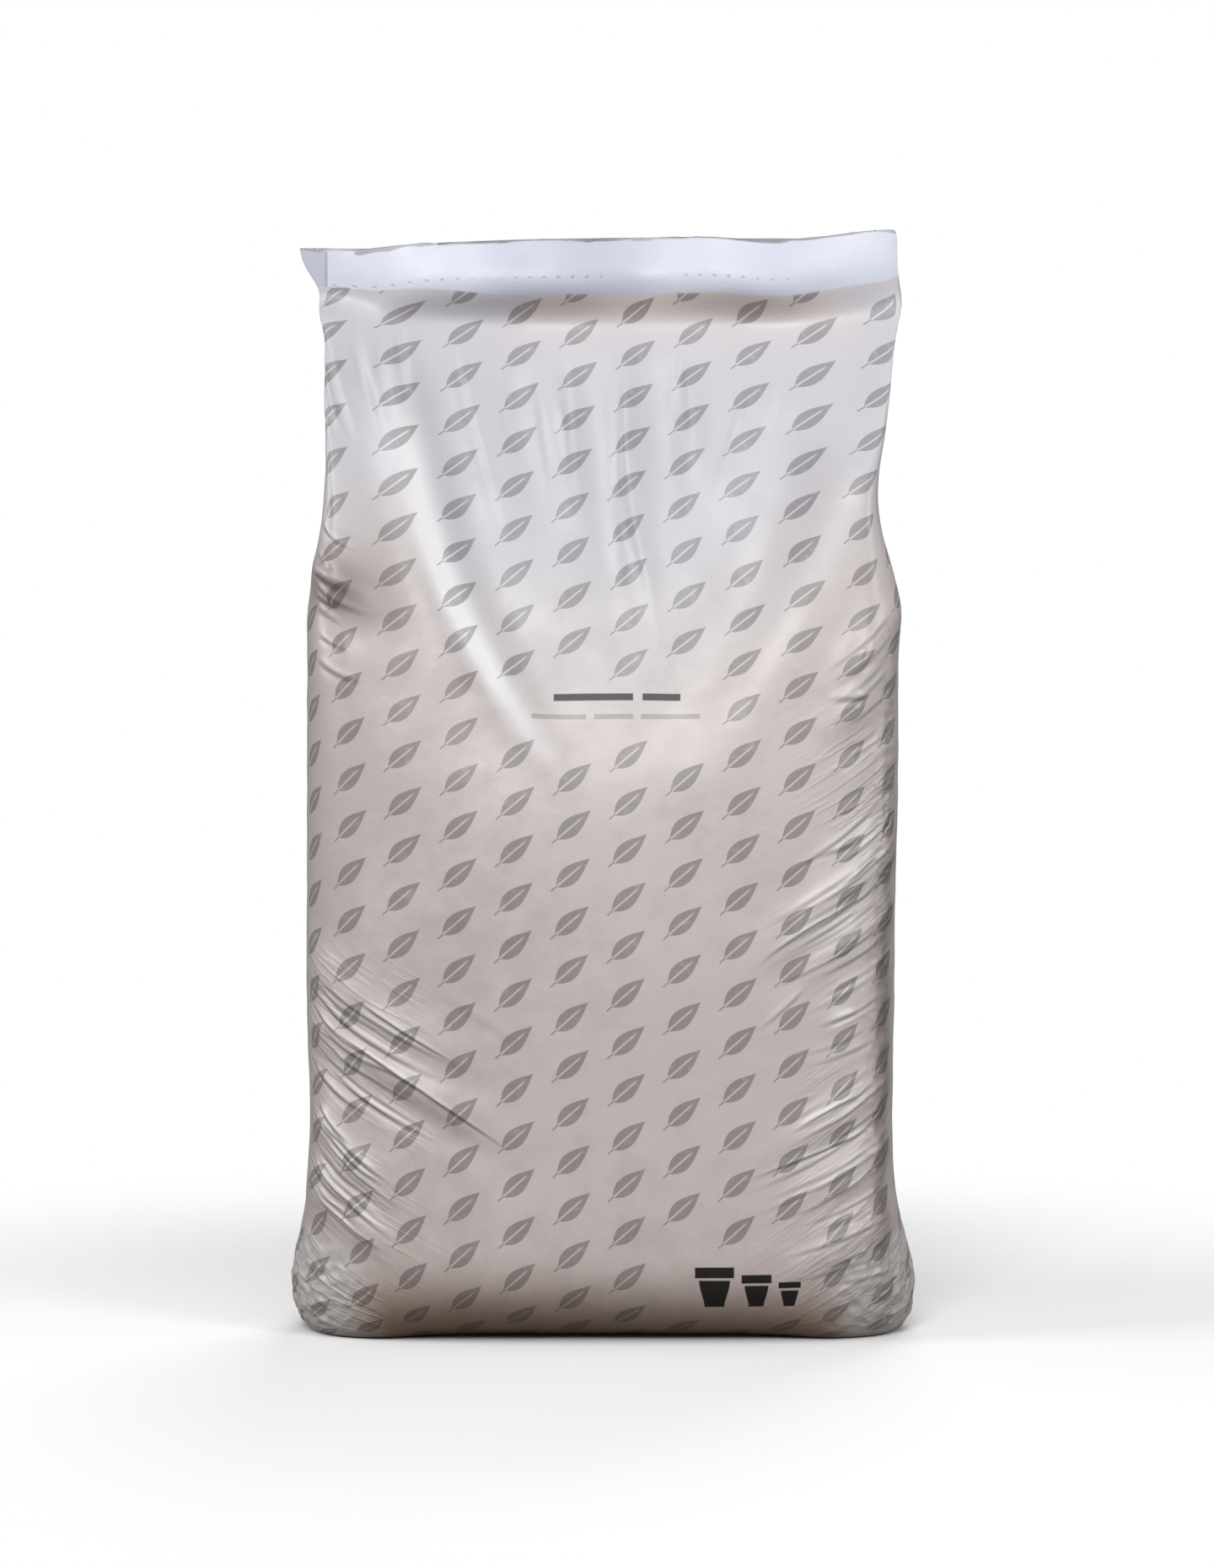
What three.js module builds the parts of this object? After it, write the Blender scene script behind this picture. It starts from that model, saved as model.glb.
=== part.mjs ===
// A full compost bag: one gusseted tube of film, welded flat at the top and standing on its base.
// Millimetres, +Z up. The printed front faces -Y, and the origin is on the floor under the middle of the bag.
import * as THREE from 'three';
import { LoftGeometry } from 'three/addons/geometries/LoftGeometry.js';
import { mergeVertices } from 'three/addons/utils/BufferGeometryUtils.js';

// Driving dimensions of the filled bag
const HEIGHT = 816; // floor to the highest point of the welded header
const BODY_WIDTH = 438; // across the filled body, outside
const BODY_DEPTH = 204; // front to back at the fullest height
const HEADER_HEIGHT = 44; // flat welded band above the filling
const HEADER_THICKNESS = 2.4; // film layers and gussets pressed together
const NECK_HEIGHT = 45; // the film hollows over this height below the header
const BASE_TURN_HEIGHT = 50; // the film turns under the base over this height
const BASE_TURN_MIDDLE = 54; // this far in from the middle of the front and back panels
const BASE_TURN_CORNER = 20; // this far in at the panels' corners
const BASE_TURN_SIDE = 10; // and this far in from each side
const GUSSET_TUCK = 58; // deepest inward fold of a side, below the header
const GUSSET_CREASE = 3; // dip of the gusset's crease down the filled side
const SIDE_SWELL = 7.5; // how far a full side stands out of its upright edges
const BASE_EAR_REACH = 18; // how far the pinched base corners stand out of the sides
const TOP_EAR_REACH = 8; // outward fold of the header's left corner
const TOP_EAR_DROOP = 2; // and how far that corner hangs down
const TOP_EDGE_RISE = 11; // the top edge rises by this from left to right

// Mesh of the loft: columns round the bag and rows up it
const FRONT_COLUMNS = 40;
const SIDE_COLUMNS = 8;
const BACK_COLUMNS = 22;
const BASE_ROWS = 6;
const BODY_ROWS = 60;
const NECK_ROWS = 5;
const HEADER_ROWS = 4;

const HALF_WIDTH = BODY_WIDTH / 2;
const HALF_DEPTH = BODY_DEPTH / 2;
const SEAL_UP = 1 - HEADER_HEIGHT / HEIGHT; // the weld line, as a share of the height
const NECK_UP = SEAL_UP - NECK_HEIGHT / HEIGHT;

// Stations up the bag, at shares of its height. Width is a share of the half width, and the three depths are
// shares of the half depth, out from the middle plane. Lean moves the middle plane back and shift moves it
// to the right, in millimetres. Square is the squareness of the section's corners: 2 is an ellipse.
const STATIONS = [
  { up: 0.0, width: 0.95, front: 0.85, shoulder: 0.9, back: 0.9, lean: 0, shift: 1, square: 4 },
  { up: 0.06, width: 0.953, front: 0.96, shoulder: 0.91, back: 0.94, lean: 0, shift: -0.5, square: 4 },
  { up: 0.16, width: 0.955, front: 1.0, shoulder: 0.92, back: 0.98, lean: 0, shift: -1, square: 4.4 },
  { up: 0.36, width: 0.972, front: 1.03, shoulder: 0.94, back: 1.0, lean: 0, shift: -2, square: 4.6 },
  { up: 0.5, width: 0.975, front: 0.93, shoulder: 0.94, back: 0.98, lean: 0, shift: 0, square: 4.8 },
  { up: 0.6, width: 0.979, front: 0.7, shoulder: 0.9, back: 0.92, lean: 1, shift: 0, square: 5.4 },
  { up: 0.67, width: 1.0, front: 0.54, shoulder: 0.82, back: 0.83, lean: 3, shift: 0.5, square: 6.5 },
  { up: 0.75, width: 0.98, front: 0.38, shoulder: 0.65, back: 0.66, lean: 8, shift: -2, square: 9 },
  { up: 0.83, width: 1.007, front: 0.24, shoulder: 0.41, back: 0.44, lean: 14, shift: 2.5, square: 13 },
  { up: NECK_UP, width: 1.014, front: 0.13, shoulder: 0.21, back: 0.24, lean: 20, shift: 5, square: 17 },
  { up: 0.925, width: 1.017, front: 0.06, shoulder: 0.09, back: 0.1, lean: 21, shift: 5.5, square: 20 },
  { up: SEAL_UP, width: 0.987, front: 0, shoulder: 0, back: 0, lean: 3, shift: 5, square: 20 },
  { up: 1.0, width: 0.998, front: 0, shoulder: 0, back: 0, lean: 11, shift: 0, square: 20 },
];

// Ranges over which the sides change, in shares of the height
const SWELL_FADES = [0.55, 0.72]; // a full side flattens
const CREASE_DEEPENS = [0.1, 0.4]; // the gusset's crease shows
const TUCK_FOLDS_IN = [0.62, 0.86]; // the gusset folds into a V
const TUCK_CLOSES = [0.9, SEAL_UP]; // and is pressed flat under the header
const BASE_EAR_UP = 0.03;
const BASE_EAR_SPREAD = 0.072;

// Ranges of the header and its top edge, in shares of the height
const HEADER_BEGINS = [SEAL_UP - 0.02, SEAL_UP];
const TOP_EAR_OPENS = [0.955, 0.985];
const TOP_EDGE_SLANTS = [0.88, 1];

// Waves and dips of the header, with places in shares of the half width
const HEADER_WAVES = [
  { depth: 3.2, waves: 2.1, start: 1 },
  { depth: 2.2, waves: 3.5, start: 0 },
];
const TOP_EDGE_DIPS = [
  { across: 0.58, depth: 7, reach: 0.15 },
  { across: -0.8, depth: 6.5, reach: 0.13 },
];

// Shares of a panel's half width, or of the crown between its middle and its edges
const PANEL_TURNS = [0.82, 0.98]; // a panel turns into the side
const EAR_CORNER = [0.88, 1]; // the header's left corner
const BASE_MIDDLE = [0.1, 0.8]; // crown from a base corner to the middle of the base
const BACK_EDGE_DEPTH = 0.93; // depth of the back panel at its edges, as a share of its middle
const LEAN_MIDDLE = 0.08; // the neck leans most here
const LEAN_REACH = 0.95; // and hardly at this distance from there
const LEAN_FULL = 1.15; // above 1, so that the lean is even over the middle

// Folds of the film, in panel shares: across is -1 to 1 over the body width, up is 0 to 1 over the height.
// Each runs from one end over a bend point to the other. It has a crest, and a dip under it or over it.
const UNDER = 1;
const OVER = -1;
const FRONT_FOLDS = [
  // edge of the slack upper panel, where the film leaves the filling
  { from: [-0.72, 0.9], bend: [-0.635, 0.61], to: [0.08, 0.45], height: 5, width: 18, dip: OVER },
  { from: [0.86, 0.82], bend: [0.62, 0.58], to: [0.12, 0.45], height: 4, width: 24, dip: OVER },
  // slack hanging from the weld line
  { from: [0.04, 0.92], bend: [0.09, 0.75], to: [0.17, 0.57], height: 3, width: 11, dip: UNDER },
  { from: [0.28, 0.92], bend: [0.29, 0.82], to: [0.31, 0.7], height: 2.5, width: 11, dip: UNDER },
  { from: [-0.24, 0.9], bend: [-0.16, 0.8], to: [-0.07, 0.7], height: 2.5, width: 11, dip: UNDER },
  // pinched shoulders at the top of the filling
  { from: [-1, 0.7], bend: [-0.86, 0.675], to: [-0.68, 0.645], height: 8.5, width: 13, dip: UNDER },
  { from: [1, 0.665], bend: [0.9, 0.625], to: [0.72, 0.565], height: 6.5, width: 13, dip: UNDER },
  { from: [1, 0.615], bend: [0.88, 0.575], to: [0.68, 0.53], height: 5.5, width: 12, dip: UNDER },
  // folds that run in from the right gusset
  { from: [1, 0.46], bend: [0.78, 0.4], to: [0.42, 0.33], height: 7, width: 11, dip: UNDER },
  { from: [1, 0.405], bend: [0.82, 0.36], to: [0.58, 0.325], height: 5.5, width: 11, dip: UNDER },
  { from: [1, 0.25], bend: [0.78, 0.2], to: [0.46, 0.155], height: 5.5, width: 11, dip: UNDER },
  { from: [1, 0.19], bend: [0.82, 0.15], to: [0.56, 0.12], height: 5, width: 11, dip: UNDER },
  { from: [1, 0.125], bend: [0.84, 0.085], to: [0.56, 0.065], height: 5, width: 11, dip: UNDER },
  // folds that run in from the left gusset
  { from: [-1, 0.345], bend: [-0.74, 0.29], to: [-0.36, 0.245], height: 6, width: 11, dip: UNDER },
  { from: [-1, 0.295], bend: [-0.64, 0.24], to: [-0.16, 0.16], height: 7.5, width: 11, dip: UNDER },
  { from: [-1, 0.215], bend: [-0.86, 0.17], to: [-0.6, 0.125], height: 5.5, width: 11, dip: UNDER },
  { from: [-1, 0.155], bend: [-0.86, 0.115], to: [-0.6, 0.07], height: 5.5, width: 11, dip: UNDER },
];
const BACK_FOLDS = [
  { from: [-0.92, 0.8], bend: [-0.5, 0.62], to: [0, 0.57], height: 6, width: 21, dip: OVER },
  { from: [0.92, 0.82], bend: [0.6, 0.66], to: [0.16, 0.6], height: 6, width: 21, dip: OVER },
  { from: [-0.2, 0.92], bend: [-0.22, 0.8], to: [-0.16, 0.66], height: 4, width: 19, dip: UNDER },
  { from: [0.34, 0.92], bend: [0.3, 0.82], to: [0.32, 0.7], height: 4, width: 19, dip: UNDER },
  { from: [-1, 0.36], bend: [-0.74, 0.3], to: [-0.36, 0.26], height: 8, width: 20, dip: UNDER },
  { from: [-1, 0.22], bend: [-0.78, 0.16], to: [-0.46, 0.125], height: 7, width: 20, dip: UNDER },
  { from: [1, 0.32], bend: [0.76, 0.25], to: [0.4, 0.2], height: 8, width: 20, dip: UNDER },
  { from: [1, 0.18], bend: [0.8, 0.13], to: [0.5, 0.1], height: 7, width: 20, dip: UNDER },
];
const DIP_SHARE = 0.7; // depth of a fold's dip, as a share of its crest
const DIP_OFFSET = 1.7; // distance from crest to dip, in fold widths
const FOLD_SAMPLES = 24;
const FOLD_STARTS = [0, 0.12]; // a fold rises over this share of its length
const FOLD_DIES = [0.5, 1]; // and dies away over this one
const FOLDS_BEGIN = [0.03, 0.06]; // shares of the height: the flat base has no folds
const FOLDS_END = [0.84, NECK_UP]; // and neither has the neck
const FOLDS_FACE = [0.25, 0.75]; // folds fade where the film turns to the sides

const { lerp, smoothstep, clamp } = THREE.MathUtils;
const ramp = (value, [from, to]) => smoothstep(value, from, to);
const bump = (value, middle, reach) => Math.exp(-(((value - middle) / reach) ** 2));

const STATION_COLUMNS = Object.keys(STATIONS[0]);
const stationCurves = new THREE.CubicInterpolant(
  STATIONS.map((station) => station.up),
  STATIONS.flatMap((station) => Object.values(station)),
  STATION_COLUMNS.length,
);

// The station values at a share of the height.
function stationAt(up) {
  const values = stationCurves.evaluate(up);
  return Object.fromEntries(STATION_COLUMNS.map((column, i) => [column, values[i]]));
}

// How far the film pulls in at a height above the floor, where it turns under the base.
function baseTurn(z, reach) {
  const fall = clamp(1 - z / BASE_TURN_HEIGHT, 0, 1);
  return reach * (1 - Math.sqrt(1 - fall * fall));
}

// Points round a square from -1 to 1, counterclockwise from above: front, right side, back, left side.
function squareRing() {
  const ring = [];
  const edge = (count, point) => {
    for (let i = 0; i < count; i += 1) ring.push(point(lerp(-1, 1, i / count)));
  };
  edge(FRONT_COLUMNS, (t) => [t, -1]);
  edge(SIDE_COLUMNS, (t) => [1, t]);
  edge(BACK_COLUMNS, (t) => [-t, 1]);
  edge(SIDE_COLUMNS, (t) => [-1, -t]);
  return ring;
}

// Heights of the loft's rows: close together round the base and under the weld line.
function rowHeights() {
  const heights = [];
  for (let i = 0; i < BASE_ROWS; i += 1) {
    heights.push(BASE_TURN_HEIGHT * (1 - Math.cos(((i / BASE_ROWS) * Math.PI) / 2)));
  }
  const rise = (count, from, to) => {
    for (let i = 0; i < count; i += 1) heights.push(lerp(from, to, i / count));
  };
  rise(BODY_ROWS, BASE_TURN_HEIGHT, NECK_UP * HEIGHT);
  rise(NECK_ROWS, NECK_UP * HEIGHT, SEAL_UP * HEIGHT);
  rise(HEADER_ROWS, SEAL_UP * HEIGHT, HEIGHT);
  heights.push(HEIGHT);
  return heights;
}

// How far a side stands out of its upright edges: full in the body, pinched into an ear at the base,
// and tucked into a V by the gusset below the header. Through is -1 at the front edge and 1 at the back.
function sideReach(through, up) {
  const swell = SIDE_SWELL * (1 - ramp(up, SWELL_FADES)) * (1 - through * through);
  const ear = BASE_EAR_REACH * bump(up, BASE_EAR_UP, BASE_EAR_SPREAD);
  const tuck = GUSSET_TUCK * ramp(up, TUCK_FOLDS_IN) * (1 - ramp(up, TUCK_CLOSES));
  const crease = GUSSET_CREASE * ramp(up, CREASE_DEEPENS);
  return swell + (ear - Math.max(tuck, crease)) * (1 - Math.abs(through));
}

// Height lost by the top edge at a share of the width.
function topEdgeDrop(across) {
  const slant = (TOP_EDGE_RISE / 2) * (1 - across);
  const dips = TOP_EDGE_DIPS.reduce((sum, dip) => sum + dip.depth * bump(across, dip.across, dip.reach), 0);
  return slant + dips + TOP_EAR_DROOP * ramp(-across, EAR_CORNER);
}

// Front-to-back waves of the welded header at a share of the width.
function headerRipple(across) {
  const wave = ({ depth, waves, start }) => depth * Math.sin(Math.PI * waves * across + start);
  return HEADER_WAVES.reduce((sum, setting) => sum + wave(setting), 0);
}

// Distance of a panel from the middle plane: the front hollows or swells between its two shoulders.
function panelDepth(station, isFront, crown) {
  const front = lerp(station.shoulder, station.front, crown);
  const back = lerp(BACK_EDGE_DEPTH, 1, crown) * station.back;
  return (isFront ? front : back) * HALF_DEPTH;
}

// One horizontal section of the bag, as a ring of points.
function section(z, ring) {
  const up = z / HEIGHT;
  const station = stationAt(up);
  const half = station.width * HALF_WIDTH - baseTurn(z, BASE_TURN_SIDE);
  return ring.map(([across, through]) => {
    const power = station.square;
    const reach = (Math.abs(across) ** power + Math.abs(through) ** power) ** (1 / power);
    const [ex, ey] = [across / reach, through / reach];
    const crown = 1 - ex * ex;

    const sideShare = ramp(Math.abs(ex), PANEL_TURNS);
    const topEar = ex < 0 ? TOP_EAR_REACH * ramp(up, TOP_EAR_OPENS) : 0;
    const x = station.shift + ex * (half + topEar) + Math.sign(ex) * sideShare * sideReach(ey, up);

    const turn = baseTurn(z, lerp(BASE_TURN_CORNER, BASE_TURN_MIDDLE, ramp(crown, BASE_MIDDLE)));
    const depth = Math.max(HEADER_THICKNESS / 2, panelDepth(station, ey < 0, crown) - turn);
    const lean = station.lean * clamp(LEAN_FULL - ((ex - LEAN_MIDDLE) / LEAN_REACH) ** 2, 0, 1);
    const y = lean + ramp(up, HEADER_BEGINS) * headerRipple(ex) + ey * depth;

    return new THREE.Vector3(x, y, z - ramp(up, TOP_EDGE_SLANTS) * topEdgeDrop(ex));
  });
}

// A fold with its centre line on the panel, in millimetres.
function drawFold(fold) {
  const onPanel = ([across, up]) => new THREE.Vector2(across * HALF_WIDTH, up * HEIGHT);
  const ends = [fold.from, fold.bend, fold.to].map(onPanel);
  return { ...fold, curve: new THREE.QuadraticBezierCurve(...ends).getPoints(FOLD_SAMPLES) };
}

// How far a fold lifts the film at a point of its panel: a crest, a dip beside it, and soft ends.
function foldLift({ curve, height, width, dip }, point) {
  let nearest = 0;
  curve.forEach((place, i) => {
    if (place.distanceToSquared(point) < curve[nearest].distanceToSquared(point)) nearest = i;
  });
  const along = nearest / FOLD_SAMPLES;
  const ends = ramp(along, FOLD_STARTS) * (1 - ramp(along, FOLD_DIES));
  const before = curve[Math.max(nearest - 1, 0)];
  const after = curve[Math.min(nearest + 1, FOLD_SAMPLES)];
  const upward = new THREE.Vector2(before.y - after.y, after.x - before.x).normalize();
  if (upward.y < 0) upward.negate();
  const gap = upward.dot(point.clone().sub(curve[nearest]));
  const valley = DIP_SHARE * bump(gap, -dip * DIP_OFFSET * width, width);
  return height * ends * (bump(gap, 0, width) - valley);
}

// Presses the folds into the smooth bag, along its normals.
function pressFolds(geometry) {
  const frontFolds = FRONT_FOLDS.map(drawFold);
  const backFolds = BACK_FOLDS.map(drawFold);
  const position = geometry.getAttribute('position');
  const normal = geometry.getAttribute('normal');
  for (let i = 0; i < position.count; i += 1) {
    const place = new THREE.Vector3().fromBufferAttribute(position, i);
    const outward = new THREE.Vector3().fromBufferAttribute(normal, i);
    const point = new THREE.Vector2(place.x, place.z);
    const up = place.z / HEIGHT;
    const folds = outward.y < 0 ? frontFolds : backFolds;
    const lift = folds.reduce((sum, fold) => sum + foldLift(fold, point), 0);
    const filled = ramp(up, FOLDS_BEGIN) * (1 - ramp(up, FOLDS_END));
    const facing = ramp(Math.abs(outward.y), FOLDS_FACE);
    place.addScaledVector(outward, filled * facing * lift);
    position.setXYZ(i, place.x, place.y, place.z);
  }
}

function bagGeometry() {
  const ring = squareRing();
  const sections = rowHeights().map((z) => section(z, ring));
  const loft = new THREE.BufferGeometry().copy(new LoftGeometry(sections, { capStart: true, capEnd: true }));
  loft.deleteAttribute('normal');
  loft.deleteAttribute('uv');
  const geometry = mergeVertices(loft);
  geometry.computeVertexNormals();
  pressFolds(geometry);
  geometry.computeBoundingBox();
  const middle = geometry.boundingBox.getCenter(new THREE.Vector3());
  geometry.translate(-middle.x, -middle.y, 0);
  geometry.computeVertexNormals();
  return geometry;
}

const film = new THREE.MeshStandardMaterial({ color: 0xc9c2c2, roughness: 0.45, metalness: 0 });
const sealedBag = new THREE.Mesh(bagGeometry(), film);
sealedBag.name = 'sealed_bag';

const compostBag = new THREE.Group();
compostBag.add(sealedBag);

export default compostBag;
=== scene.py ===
import math
import random
from collections import namedtuple

import bmesh
import bpy
import numpy as np
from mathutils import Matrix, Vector, noise
from mathutils.bvhtree import BVHTree


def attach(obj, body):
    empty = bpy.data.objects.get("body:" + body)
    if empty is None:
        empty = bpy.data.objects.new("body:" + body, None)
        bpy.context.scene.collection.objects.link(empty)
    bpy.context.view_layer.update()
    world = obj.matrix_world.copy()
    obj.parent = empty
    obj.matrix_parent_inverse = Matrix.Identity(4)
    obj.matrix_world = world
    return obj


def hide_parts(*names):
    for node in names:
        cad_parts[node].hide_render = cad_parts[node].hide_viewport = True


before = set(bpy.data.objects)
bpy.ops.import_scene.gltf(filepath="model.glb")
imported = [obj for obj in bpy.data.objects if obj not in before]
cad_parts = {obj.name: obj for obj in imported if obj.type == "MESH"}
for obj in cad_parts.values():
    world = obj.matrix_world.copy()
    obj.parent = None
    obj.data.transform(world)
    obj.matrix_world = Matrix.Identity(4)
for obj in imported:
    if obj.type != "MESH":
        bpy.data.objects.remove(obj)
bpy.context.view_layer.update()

perMetre = 1000  # millimetres
noiseMean = 0.5  # middle value of the shader noise

# what a user would change about the film's form, lengths in millimetres
filmForm = {
    "weld": 0.01,  # points of the solid this close are one
    "middleWeight": 5,  # being in the middle counts this much more than being in front, for the first column
    "fullest": 300,  # height of the fullest ring
    "headerHeight": 768,  # lower edge of the unprinted band
    "baseRim": 10,  # flat rim kept round the underside
    "undersideGap": 100,  # the underside is unrolled this far below the foot of the film
    "bulge": ((-228, 116), (45, 34), 3.5),  # fuller left edge over the base corner: place, reach, height
    "sway": 1.1,  # slow unevenness of the film over the filling
    "swayPitch": 95,
    "lumps": 0.35,  # compost pressing through the film
    "lumpPitch": 17,
    "lumpShift": (7, 3, 1),  # puts the lumps out of step with the sway
    "lumpsTo": (450, 620),  # heights over which the lumps end
    "calmFoot": (2, 14),  # heights over which creases and unevenness start
    "calmHead": (700, 760),  # and end
}

# how fine the film's mesh is, lengths in millimetres
filmMesh = {
    "smoothest": 3,  # subdivision steps of the smooth film that all points are laid on
    "sideFrom": 232,  # distance round the girth where the plain sides and back start, with a coarser mesh
    "foldReach": 16,  # the front's mesh is finer this close to a crease
    "headFrom": 690,  # and from this height up
    "underside": 0.5,  # faces under this height are the flat underside
    "creaseReach": (2.6, 2.0),  # the mesh is fine this far below and above a crease, in crease widths
    "creaseEdge": 1.9,  # longest edge left there
    "sharpReach": (2.4, 1.4),  # and finest this far from a sharp crease
    "sharpEdge": 1.0,
    "sharpWidth": 1.8,  # a single crease up to this half width is sharp
    "fullWidth": 2.2,  # wider creases have no wider band of fine mesh
    "broadWidth": 4.0,  # and from this width they have none
    "cornerFine": 0.45,  # the mesh is fine where the corners' crumples are stronger than this
    "edgeFine": 0.3,  # and where the right edge's are
}

# film crushed at the empty base corners and along the right edge, lengths in millimetres
crumpleForm = {
    "height": 4.4,
    "pitch": 11,
    "blunt": 0.5,  # share of the second nearest facet's distance that is taken from the nearest one's
    "least": 0.01,  # weaker crumples are left out
    "cornerFrom": (160, 212),  # girth over which a corner's crumples start
    "cornerUntil": (280, 320),  # and end
    "cornerTo": (40, 100),  # heights over which they die away
    "edgePlace": 218,  # girth of the right edge
    "edgeReach": 13,
    "edgeShare": 0.9,  # strength, in corner crumples
    "edgeTo": (430, 540),
}

# profile of the creases and the lines of painted shade and painted highlight along them, in crease widths
# unless noted
creaseForm = {
    "seed": 11,
    "fanJitter": 0.35,  # a fan's crease is out of place by up to this share of a step
    "fanStart": (-0.15, 0.6),  # and starts this much further out, as a share of its first half
    "fanReach": (0.55, 1.1),  # it runs over this share of the fan's length
    "fanSag": 4,  # and its bend is off by up to this many millimetres
    "comesUp": (0, 0.3),  # shares of its length over which a crease comes up
    "diesAway": (0.5, 1),
    "margin": 5,  # a crease is worked out this far from its line
    "crestSlope": 1.8,  # upper flank of a crest, in lower flanks
    "crestPower": 1.5,  # roundness of the flanks
    "dipShare": 0.8,  # valley beside a crease, as a share of its crest
    "dipOffset": 1.6,  # crest to valley
    "fullTone": 1.4,  # crest in millimetres from which a crease's painted shade and painted highlight are full
    "pinchedLine": (-0.9, 0.48),  # painted shade in the valley: place and reach beside the crest
    # painted highlight along the crest: place and reach beside it
    "highlightLine": (0.35, 0.8),
    "rightShade": 0.45,  # the valleys on the right are shallow, so their painted dark line is faint
}

# places of painted shade, multiplied in like a crease's valley: middle in (girth, height), reach both ways
# and tone
shades = [
    ((-190, 552), (38, 24), 0.76),  # left shoulder
    ((190, 490), (46, 95), 0.2),  # right shoulder
    ((222, 220), (13, 220), 0.95),  # right edge
    ((214, 50), (34, 50), 0.42),  # right base corner
]

# start, bend and end in (girth from front middle, height), the crest's height, its half width, and the
# tone: how strongly the painted shade in its valley and the painted highlight on its crest show
Crease = namedtuple("Crease", "start bend end crest width tone")

singleCreases = [
    Crease((-181, 256), (-140, 228), (-96, 203), 1.3, 1.7, 1.0),  # lower left
    Crease((-206, 236), (-130, 190), (-58, 138), 1.7, 1.8, 1.0),
    Crease((-202, 216), (-188, 205), (-166, 190), 1.4, 1.6, 1.0),
    Crease((-178, 212), (-150, 200), (-118, 183), 1.1, 2.0, 1.0),
    Crease((-214, 262), (-196, 246), (-170, 232), 1.0, 2.3, 1.0),
    Crease((-216, 164), (-193, 148), (-158, 118), 1.3, 1.6, 1.0),
    Crease((-212, 150), (-188, 132), (-162, 110), 1.2, 2.0, 1.0),
    Crease((-118, 262), (-84, 242), (-44, 212), 0.5, 4.2, 0.4),
    Crease((206, 358), (190, 347), (166, 330), 1.4, 1.7, 1.0),  # right side
    Crease((205, 331), (150, 312), (108, 274), 1.7, 1.8, 1.0),
    Crease((198, 322), (165, 303), (128, 283), 1.2, 2.0, 0.8),
    Crease((190, 368), (172, 362), (148, 354), 1.1, 2.0, 0.8),
    Crease((196, 245), (180, 240), (156, 233), 1.2, 2.0, 1.0),
    Crease((151, 264), (133, 246), (110, 229), 0.9, 2.0, 0.8),
    Crease((202, 186), (166, 175), (136, 154), 1.4, 1.7, 1.0),
    Crease((204, 156), (158, 142), (104, 122), 1.5, 1.7, 1.0),
    Crease((212, 131), (190, 113), (158, 105), 1.5, 1.7, 1.0),
    Crease((214, 77), (200, 62), (164, 57), 1.6, 1.7, 1.0),
    Crease((206, 100), (188, 90), (164, 86), 1.2, 2.0, 0.8),
    Crease((-214, 566), (-190, 560), (-165, 546), 2.8, 4.2, 1.0),  # shoulders
    Crease((-212, 548), (-196, 540), (-176, 534), 1.8, 3.0, 1.0),
    Crease((195, 474), (178, 470), (158, 470), 1.4, 2.4, 0.8),
    Crease((-149, 712), (-118, 470), (12, 376), 1.0, 11.0, 0.0),  # edge of the hollow
    Crease((8, 716), (20, 610), (42, 500), 0.8, 3.6, 0.0),  # folds hanging from the header
    Crease((54, 726), (58, 690), (64, 650), 0.6, 3.4, 0.0),
    Crease((96, 724), (97, 700), (100, 668), 0.5, 3.4, 0.0),
    Crease((-38, 700), (-30, 665), (-18, 620), 0.5, 3.4, 0.0),
]

# fans of fine creases between a first and a last one
creaseFans = [
    {"first": ((-214, 268), (-155, 228), (-100, 205)), "last": ((-214, 196), (-165, 160), (-112, 136)),
     "count": 9, "crest": (0.6, 1.4), "width": (1.9, 2.6), "tone": 1},  # lower left
    {"first": ((-218, 176), (-185, 142), (-150, 118)), "last": ((-220, 104), (-188, 80), (-150, 56)),
     "count": 15, "crest": (0.8, 1.7), "width": (1.7, 2.3), "tone": 1},
    {"first": ((214, 400), (165, 358), (92, 316)), "last": ((214, 296), (178, 272), (112, 250)),
     "count": 14, "crest": (0.4, 1.2), "width": (1.5, 2.2), "tone": 0.9},  # right side
    {"first": ((212, 280), (180, 262), (128, 242)), "last": ((212, 224), (182, 212), (138, 202)),
     "count": 6, "crest": (0.4, 0.9), "width": (1.5, 2.2), "tone": 0.9},
    {"first": ((214, 212), (166, 174), (92, 146)), "last": ((220, 52), (184, 44), (138, 40)),
     "count": 14, "crest": (0.4, 1.2), "width": (1.5, 2.2), "tone": 0.9},
    {"first": ((208, 536), (180, 505), (140, 474)), "last": ((212, 440), (192, 428), (158, 418)),
     "count": 7, "crest": (0.4, 0.9), "width": (2.0, 2.8), "tone": 0.7},  # shoulders
    {"first": ((-208, 600), (-182, 580), (-150, 566)), "last": ((-212, 505), (-190, 492), (-164, 486)),
     "count": 6, "crest": (0.6, 1.4), "width": (2.2, 3.0), "tone": 0.8},
    {"first": ((-96, 742), (-80, 655), (-48, 560)), "last": ((136, 744), (122, 660), (92, 585)),
     "count": 7, "crest": (0.2, 0.45), "width": (2.8, 3.6), "tone": 0},  # under the header
    {"first": ((-206, 730), (-196, 690), (-176, 640)), "last": ((-142, 738), (-138, 690), (-128, 640)),
     "count": 6, "crest": (0.4, 1.0), "width": (2.4, 3.4), "tone": 0.2},
]


def addObject(name, data):
    made = bpy.data.objects.new(name, data)
    bpy.context.scene.collection.objects.link(made)
    return made


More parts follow.
